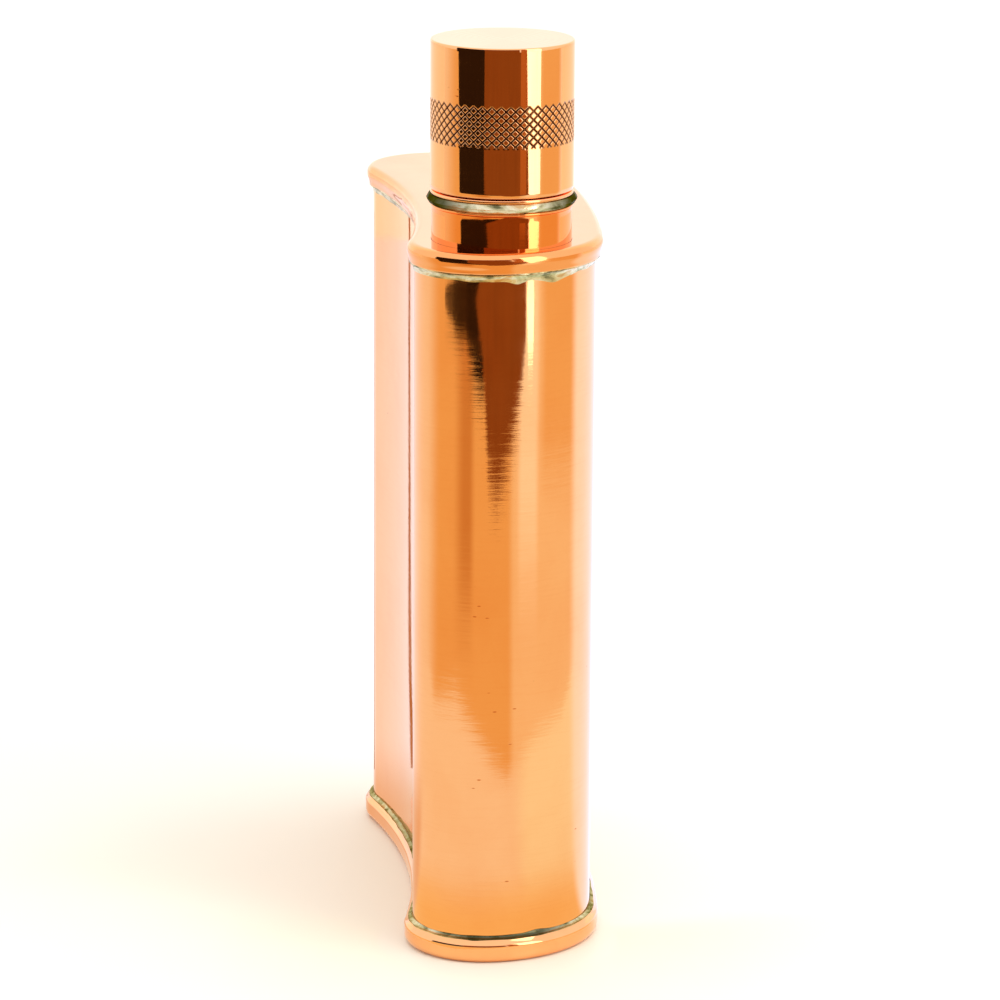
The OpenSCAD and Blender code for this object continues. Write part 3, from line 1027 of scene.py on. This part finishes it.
# Where the cream by the flask gives way to tan, for each bearing.
TABLE_EDGE_DEG = (-110, -85, -45, 26, 34, 60, 90, 115)
TABLE_EDGE_M = (0.20, 0.16, 0.165, 0.11, 0.115, 0.135, 0.145, 0.185)


def make_camera():
    data = bpy.data.cameras.new("camera")
    data.sensor_width = SENSOR_MM
    data.lens = LENS_MM
    data.clip_start, data.clip_end = 0.05, 20.0
    camera = bpy.data.objects.new("camera", data)
    bpy.context.collection.objects.link(camera)
    turn = Matrix.Rotation(-CAMERA_YAW, 4, "Z")
    turn = turn @ Matrix.Rotation(math.pi / 2 - CAMERA_PITCH, 4, "X")
    turn = turn @ Matrix.Rotation(CAMERA_ROLL, 4, "Z")
    camera.matrix_world = Matrix.Translation(CAMERA_M) @ turn
    bpy.context.scene.camera = camera


def make_world():
    world = bpy.data.worlds.new("studio")
    world.use_nodes = True
    background = world.node_tree.nodes["Background"]
    background.inputs["Color"].default_value = WORLD_COLOUR
    background.inputs["Strength"].default_value = WORLD_STRENGTH
    bpy.context.scene.world = world


def make_key_light():
    """A soft light from the right and front, which leaves a faint shadow to the left."""
    data = bpy.data.lights.new("key", "AREA")
    data.shape = "SQUARE"
    data.size = KEY_SIZE_M
    data.energy = KEY_POWER_W
    data.color = (1.0, 0.98, 0.94)
    key = bpy.data.objects.new("key", data)
    bpy.context.collection.objects.link(key)
    key.location = from_neck(*KEY_PLACE_M)
    aim = Vector((0, 0, 0.05)) - key.location
    key.rotation_euler = aim.to_track_quat("-Z", "Y").to_euler()
    key.visible_glossy = False


def make_stage():
    floor = plain_material("floor", FLOOR_CREAM, 0.45)
    signs = [(-1, -1), (1, -1), (1, 1), (-1, 1)]
    stage_sheet("floor", [(FLOOR_REACH_M * x, FLOOR_REACH_M * y, 0) for x, y in signs], floor)
    brown = glowing("brown_room", (0.30, 0.105, 0.024), 1.0)
    light_brown = glowing("light_brown_room", (0.55, 0.20, 0.05), 1.0)
    dark = glowing("dark_room", (0.030, 0.016, 0.008), 1.0)
    bright = glowing("window_light", (0.90, 0.92, 1.0), 3.8)
    back = glowing("back_light", (1.0, 1.0, 1.0), 1.5)
    make_table_card()
    divide = [(-1.0, 2.0), (-0.45, 0.84), (-0.34, 0.62), (-0.16, 0.52), (-0.05, 0.47)]
    brown_floor = divide + [(0.0, 0.40), (0.03, 0.34), (0.09, 0.305), (0.16, 0.31), (0.24, 0.32)]
    brown_floor += [(0.34, 0.34), (0.42, 0.42), (1.6, 2.0)]
    reflection_card("brown_floor", [(x, y, 0.002) for x, y in brown_floor], brown)
    dark_floor = [(-0.16, 0.42), (-0.26, 0.41), (-0.41, 0.29), (-0.48, 0.20), (-2.0, 0.4)]
    dark_floor += [(-2.0, 2.0)] + divide + [(-0.01, 0.42)]
    reflection_card("dark_floor", [(x, y, 0.003) for x, y in dark_floor], dark)
    gap = [(-0.030, -0.085, 0.002), (-0.22, -0.60, 0.002), (-0.205, -0.603, 0.002)]
    reflection_card("table_gap", gap + [(-0.027, -0.086, 0.002)], light_brown)
    reflection_card("dark_wall", standing(1.1, -77, -28, 0.0, 0.5), dark)
    reflection_card("brown_wall", standing(1.1, -28, 27, 0.0, 0.6), brown)
    reflection_card("light_brown_wall", standing(0.62, 29, 39, 0.0, 0.5), light_brown)
    window = [(48, 0.0), (53, 0.0), (54, 0.02), (63, 0.03), (64, 0.5), (39, 0.5), (39, 0.08)]
    reflection_card("window", [at_bearing(0.47, turn, up) for turn, up in window], bright)
    reflection_card("back_light", standing(1.6, 130, 230, 0.08, 1.6), back)


make_camera()
make_world()
make_key_light()
make_stage()
bpy.context.scene.view_settings.view_transform = "Standard"
